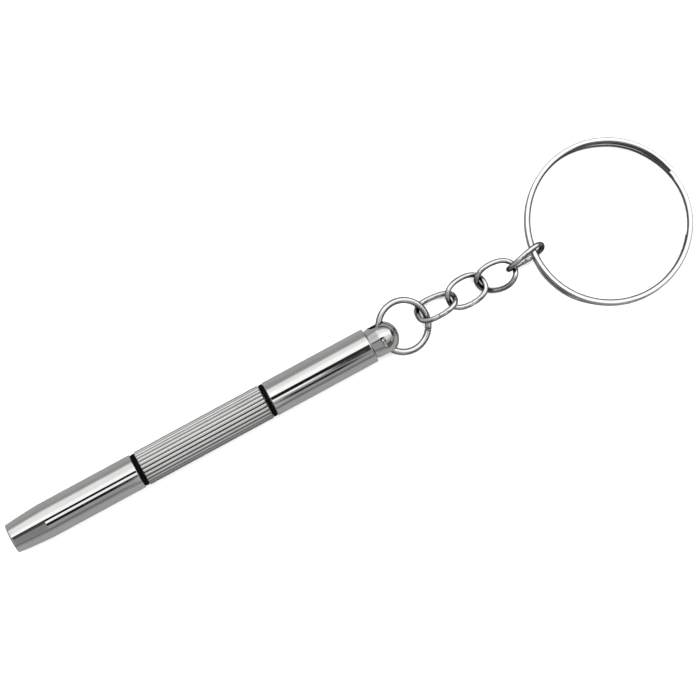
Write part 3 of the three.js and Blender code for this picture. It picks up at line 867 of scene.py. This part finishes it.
def wire_shade(points, others, upright_span, outer, butt):
    """Painted shade on a wire: on its sides, where its face leans away from upright, some of it underneath,
    and at crossings, where the middle of another wire is near. Outer is the share of the side shade that
    stays on the faces turned away from the middle of the loop, and butt is the shade painted at its ends."""
    along, around = np.gradient(points, axis=0), np.roll(points, -1, 1) - np.roll(points, 1, 1)
    faces = unit(np.cross(along, around))
    upright = faces[..., 2]
    outside = ease((faces * unit(points - points.mean((0, 1)))).sum(-1), *OUTER_SPAN)
    # Painted shade on the sides, underneath, at crossings and at the butt ends
    sides = SIDE_SHADE * (1 - ease(np.abs(upright), *upright_span)) * (1 - (1 - outer) * outside)
    under = UNDER_SHADE * ease(-upright, *UNDER_SPAN)
    away = np.linalg.norm(points[:, :, None] - others, axis=-1).min(-1)
    steps = np.linalg.norm(np.diff(points.mean(1), axis=0), axis=1)
    run = np.concatenate([[0], np.cumsum(steps)])
    ends = butt * (1 - ease(np.minimum(run, run[-1] - run), *BUTT_SPAN))[:, None]
    return np.maximum.reduce([sides, under, 1 - ease(away, *CROSSING_SPAN), ends + 0 * away])


x_way = np.array([1.0, 0.0, 0.0])
jump_turn = spin("X", BALL_HOLE_LEAN) @ spin("Y", JUMP_DIP)
jump_centre = ball_centre + jump_turn @ (x_way * (JUMP_RADIUS - JUMP_SETBACK))
wires = {"jump_ring": ("ball_jump_ring", on_axis(jump_ring() @ jump_turn.T + jump_centre))}

hook = spin("Z", FIRST_HOOK)
hold_point = jump_centre + jump_turn @ hook @ (x_way * JUMP_RADIUS)
hold_axis, hold_heading = jump_turn @ hook @ np.array([0.0, 1.0, 0.0]), jump_turn @ x_way
hold_wire, hold_slack = JUMP_WIRE, FIRST_SLACK
link_reach = (LINK_LENGTH - LINK_WIRE) / 2
for number, (roll, pitch, yaw, twist, side) in enumerate(LINK_LAYS, 1):
    turn = lay_turn(roll, pitch, yaw)
    heading = turn @ x_way
    pull = unit(heading + hold_heading)
    hanger = hold_point + hold_axis * side
    centre = hanger - pull * ((hold_wire + LINK_WIRE) / 2 + hold_slack) + heading * link_reach
    wires[f"chain_link_{number}"] = (f"curb_link_{number}", on_axis(chain_link(twist) @ turn.T + centre))
    hold_point, hold_heading = centre + heading * link_reach, heading
    hold_axis = turn @ spin("X", -twist) @ np.array([0.0, 1.0, 0.0])
    hold_wire, hold_slack = LINK_WIRE, LINK_SLACK

split_turn = lay_turn(0, -SPLIT_TILT, SPLIT_SWING)
split_line = SPLIT_RADIUS - FLAT_WIRE_WIDTH / 2
split_centre = hold_point - hold_heading * SPLIT_HANG + split_turn @ (x_way * split_line)
tilt = math.radians(SPLIT_TILT)
split_centre[2] = SPLIT_HEIGHT / 2 * math.cos(tilt) + SPLIT_RADIUS * math.sin(tilt) - AXIS[2]
wires["split_ring"] = ("key_split_ring", on_axis(split_ring() @ split_turn.T + split_centre))

# Each wire carries painted shade: its sides, underside, crossings and butt ends are darkened
for node, (name, points) in wires.items():
    others = np.vstack([p.mean(1)[::CROSSING_STRIDE] for n, (_, p) in wires.items() if n != node])
    shade_paint = {"jump_ring": JUMP_WIRE_SHADE, "split_ring": FLAT_WIRE_SHADE}.get(node, LINK_WIRE_SHADE)
    make_piece(name, [skin(points)], nickel, node, painted_shade=wire_shade(points, others, *shade_paint))


# Camera: near overhead, with the tool rising to the right

VIEW_DISTANCE = 495.0
VIEW_TILT = 5.0
VIEW_TURN = 28.53
VIEW_POINT = np.array([0.839, 1.584, 3.0])
PIXELS_PER_HALF = 350
FOCAL_PIXELS = 3000
SENSOR_WIDTH = 36.0
NEAREST_SEEN = 0.01


def add_camera():
    """Camera above the part: its right-hand way lies at the view turn below the tool axis, and it leans
    from overhead towards the lower edge of the picture by the view tilt."""
    b, t = math.radians(VIEW_TURN), math.radians(VIEW_TILT)
    right = np.array([math.cos(b), -math.sin(b), 0.0])
    level = np.array([math.sin(b), math.cos(b), 0.0])
    back = np.array([0, 0, math.cos(t)]) - level * math.sin(t)
    up = np.cross(back, right)
    data = bpy.data.cameras.new("view")
    data.sensor_width = SENSOR_WIDTH
    data.lens = SENSOR_WIDTH / 2 * FOCAL_PIXELS / PIXELS_PER_HALF
    data.clip_start = NEAREST_SEEN
    camera = bpy.data.objects.new("view", data)
    place = np.eye(4)
    place[:3, 0], place[:3, 1], place[:3, 2] = right, up, back
    place[:3, 3] = (VIEW_POINT + back * VIEW_DISTANCE) * MM
    camera.matrix_world = place.T.tolist()
    bpy.context.scene.collection.objects.link(camera)
    bpy.context.scene.camera = camera


add_camera()


# Studio: a pale floor, a large soft light overhead and a room of soft boxes and dark gaps

FLOOR_REACH = 1.5
PALE_FLOOR = (0.9, -0.0001)
REFLECTED_FLOOR = (0.24, -0.00005)
ROOM_GREY = 0.46
BACKDROP_GREY = 0.9
FRONT_TO_REAR = (-0.8, 2.6)


def flat_floor(name, shade, height):
    """Square floor of one shade of grey, at a height in metres."""
    corners = [(-1, -1), (1, -1), (1, 1), (-1, 1)]
    mesh = bpy.data.meshes.new(name)
    mesh.from_pydata([(x * FLOOR_REACH, y * FLOOR_REACH, height) for x, y in corners], [], [(0, 1, 2, 3)])
    finish, _, _, shader = new_finish(name, (shade, shade, shade), 0.0, 0.9)
    shader.inputs["Specular IOR Level"].default_value = 0.0
    mesh.materials.append(finish)
    floor = bpy.data.objects.new(name, mesh)
    bpy.context.scene.collection.objects.link(floor)
    return floor


# One floor is what the camera sees, and the other, a darker one, is what the metal reflects
pale_floor = flat_floor("pale_floor", *PALE_FLOOR)
pale_floor.visible_glossy = False
reflected_floor = flat_floor("reflected_floor", *REFLECTED_FLOOR)
reflected_floor.visible_camera = False
reflected_floor.visible_diffuse = False
reflected_floor.visible_shadow = False


def add_overhead(size, height, power):
    """Large soft light straight above, which lights the floor and stays out of the reflections."""
    data = bpy.data.lights.new("overhead", "AREA")
    data.shape = "SQUARE"
    data.size = size
    data.energy = power
    lamp = bpy.data.objects.new("overhead", data)
    lamp.location = (0, 0, height)
    lamp.visible_glossy = False
    bpy.context.scene.collection.objects.link(lamp)


add_overhead(size=1.6, height=0.9, power=24.0)


class Room:
    """Node helper for the room round the part. Angles are in degrees: side is how far a direction leans
    from overhead across the tool axis, towards -Y, and end is how far it leans along the axis, to +X."""

    def __init__(self):
        self.world = bpy.data.worlds.new("room")
        self.world.use_nodes = True
        self.nodes, self.links = self.world.node_tree.nodes, self.world.node_tree.links
        coordinates = self.nodes.new("ShaderNodeTexCoord")
        split = self.nodes.new("ShaderNodeSeparateXYZ")
        self.links.new(coordinates.outputs["Generated"], split.inputs["Vector"])
        x, y, z = (split.outputs[k] for k in "XYZ")
        degrees = 180 / math.pi
        self.side = self.math("MULTIPLY", self.math("ARCTAN2", self.math("MULTIPLY", y, -1.0), z), degrees)
        self.end = self.math("MULTIPLY", self.math("ARCSINE", x), degrees)
        self.towards_rear = self.step(self.end, *FRONT_TO_REAR)

    def math(self, kind, a, b=None):
        """One sum on two values, each a number or another node's output."""
        node = self.nodes.new("ShaderNodeMath")
        node.operation = kind
        for value, socket in ((a, node.inputs[0]), (b, node.inputs[1])):
            if value is None:
                continue
            if isinstance(value, (int, float)):
                socket.default_value = value
            else:
                self.links.new(value, socket)
        return node.outputs[0]

    def step(self, value, edge, soft):
        """0 below an edge and 1 above it, with a soft change of the given width."""
        rise = self.math("DIVIDE", self.math("SUBTRACT", value, edge), soft)
        ranged = self.nodes.new("ShaderNodeMapRange")
        ranged.interpolation_type = "SMOOTHSTEP"
        ranged.inputs["From Min"].default_value = -0.5
        ranged.inputs["From Max"].default_value = 0.5
        self.links.new(rise, ranged.inputs["Value"])
        return ranged.outputs["Result"]

    def within(self, value, low, high, soft_low, soft_high):
        """Share of a value between two edges."""
        return self.math(
            "MULTIPLY",
            self.step(value, low, soft_low),
            self.math("SUBTRACT", 1.0, self.step(value, high, soft_high)),
        )

    def edge(self, front, rear):
        """A side angle that moves from one value over the front cap to another over the rear cap."""
        if front == rear:
            return front
        return self.math("ADD", self.math("MULTIPLY", self.towards_rear, rear - front), front)

    def panel(self, low, high, soft, ends, level):
        """Hangs a panel over what is there: between two side edges, each (over the front, over the rear),
        with a soft width for each, and two end angles with one soft width. Level is how bright it is."""
        sides = self.within(self.side, self.edge(*low), self.edge(*high), *soft)
        share = self.math("MULTIPLY", sides, self.within(self.end, ends[0], ends[1], ends[2], ends[2]))
        self.level = self.math(
            "ADD",
            self.math("MULTIPLY", self.level, self.math("SUBTRACT", 1.0, share)),
            self.math("MULTIPLY", share, level),
        )


def add_room():
    """Grey room with a large soft box on the left, a dark gap overhead, a bright strip and a dark flag on
    the right. The camera itself sees a plain pale backdrop. A later panel covers the earlier ones."""
    room = Room()
    room.level = ROOM_GREY
    # Dim walls on the right, and dark ones low on both sides towards the nose and the key ring
    room.panel((61, 70), (78, 86), (9, 9), (-60, 60, 10), 0.26)
    room.panel((20, 20), (58, 58), (4, 9), (-17, -7.5, 2), 0.33)
    room.panel((20, 20), (90, 90), (10, 2), (-90, -28, 4), 0.1)
    room.panel((-92, -92), (-70, -70), (2, 8), (-90, -28, 4), 0.1)
    room.panel((-92, -92), (-74, -74), (2, 6), (9, 70, 3), 0.14)
    room.panel((78, 78), (92, 92), (5, 2), (9, 70, 3), 0.14)
    room.panel((50, 50), (74, 74), (8, 8), (8, 40, 6), 0.12)
    # Soft boxes: one overhead towards the key ring and two on the left
    room.panel((-5, -5), (28, 28), (12, 40), (14, 72, 14), 1.15)
    room.panel((-64, -58), (-3.5, -1.5), (18, 2), (-19.5, 72, 14), 1.3)
    room.panel((-24, -31), (-3.5, -1.5), (16, 2), (-19.5, 72, 14), 1.65)
    # Dark gap, bright strip and dark flag over the caps
    room.panel((-4.3, -2.3), (9.3, 17.8), (2, 2), (-17, 8, 2), 0.01)
    room.panel((9.3, 17.8), (23.7, 29.2), (2, 3), (-7, 1.7, 0.5), 1.5)
    room.panel((23.7, 39.2), (40, 53), (2, 3), (-7, 2.5, 0.5), 0.01)
    # Lit band on the right that only the grip reflects, and a dark one below it
    room.panel((28, 28), (76, 76), (6, 4), (-2.22, 0.55, 0.06), 1.0)
    room.panel((76, 76), (96, 96), (4, 4), (-2.22, 0.55, 0.06), 0.03)
    # Dark bars towards the nose and towards the ball, with a lamp in the last
    room.panel((2, 2), (18, 18), (3, 5), (-17, -7.5, 1.5), 0.09)
    room.panel((3, 3), (9, 9), (2, 2), (-46, -17, 2), 0.05)
    room.panel((0, 0), (34, 34), (3, 4), (1.95, 13, 0.5), 0.04)
    room.panel((8, 8), (18, 18), (2, 2), (5, 9.5, 1), 1.6)
    # Dark end wall beyond the key ring
    room.panel((-180, -180), (180, 180), (1, 1), (70, 95, 8), 0.06)
    combine = room.nodes.new("ShaderNodeCombineColor")
    for name in ("Red", "Green", "Blue"):
        room.links.new(room.level, combine.inputs[name])
    paths = room.nodes.new("ShaderNodeLightPath")
    mix = room.nodes.new("ShaderNodeMix")
    mix.data_type = "RGBA"
    colours = [s for s in mix.inputs if s.type == "RGBA"]
    colours[1].default_value = (BACKDROP_GREY, BACKDROP_GREY, BACKDROP_GREY, 1)
    room.links.new(paths.outputs["Is Camera Ray"], mix.inputs["Factor"])
    room.links.new(combine.outputs["Color"], colours[0])
    background = room.nodes["Background"]
    room.links.new([s for s in mix.outputs if s.type == "RGBA"][0], background.inputs["Color"])
    bpy.context.scene.world = room.world


add_room()
bpy.context.scene.view_settings.view_transform = "Standard"
